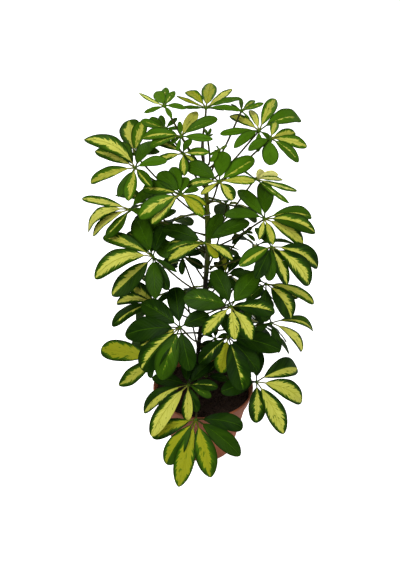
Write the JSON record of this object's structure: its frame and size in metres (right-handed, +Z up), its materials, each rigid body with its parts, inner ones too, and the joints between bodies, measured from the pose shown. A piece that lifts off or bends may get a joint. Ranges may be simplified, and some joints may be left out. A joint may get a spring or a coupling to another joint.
{
  "type": "potted umbrella plant",
  "caption": "Variegated dwarf umbrella plant: palmate leaves on long stalks up one caned stem, in a tapered terracotta-coloured pot of soil.",
  "frame": {"origin": "middle of the pot's flat underside, on the surface that the plant stands on", "axes": "+Z up along the pot's axis, -Y towards the front that the picture shows, +X to its right"},
  "size_m": [0.4053, 0.3559, 0.7045],
  "materials": {
    "terracotta": "matt terracotta-coloured moulded plastic",
    "potting_soil": "moist dark peat with small lumps",
    "bark": "dull brown bark, greener towards the top",
    "bamboo": "weathered grey split cane",
    "tie_wire": "grey coated plant tie",
    "leaf": "glossy dark green with jagged yellow patches along the midrib",
    "young_leaf": "soft satin yellow-green"
  },
  "bodies": {
    "root": {"pot": "terracotta", "soil": "potting_soil", "stem": "bark", "cane": "bamboo", "tie_1": "tie_wire", "tie_2": "tie_wire", "leaf_v": "leaf", "leaf_u": "leaf", "leaf_s": "leaf", "leaf_y": "leaf", "leaf_w": "leaf", "leaf_h": "leaf", "leaf_n": "leaf", "leaf_m": "leaf", "leaf_l": "leaf", "leaf_q": "leaf", "leaf_aa": "leaf", "leaf_j": "leaf", "leaf_o": "leaf", "leaf_p": "leaf", "leaf_g2": "leaf", "leaf_g1": "leaf", "leaf_d": "leaf", "leaf_e": "leaf", "leaf_a": "leaf", "leaf_b": "young_leaf", "leaf_c": "leaf", "leaf_f": "leaf", "leaf_h0": "young_leaf", "leaf_i": "young_leaf", "leaf_k": "leaf", "leaf_z": "leaf", "leaf_x": "leaf", "leaf_r": "leaf", "leaf_t": "leaf", "leaf_o2": "leaf", "leaf_ba": "leaf", "leaf_bb": "leaf", "leaf_bc": "leaf", "leaf_bd": "leaf", "leaf_be": "leaf", "leaf_bf": "leaf", "leaf_bg": "leaf", "leaf_bh": "leaf", "leaf_bi": "leaf", "leaf_tip": "young_leaf", "leaf_far_1": "leaf", "leaf_far_2": "leaf", "leaf_far_3": "leaf", "leaf_far_4": "leaf", "leaf_far_5": "leaf", "leaf_far_6": "leaf", "leaf_far_7": "leaf", "leaf_far_8": "leaf", "leaf_far_9": "leaf"}
  },
  "joints": []
}
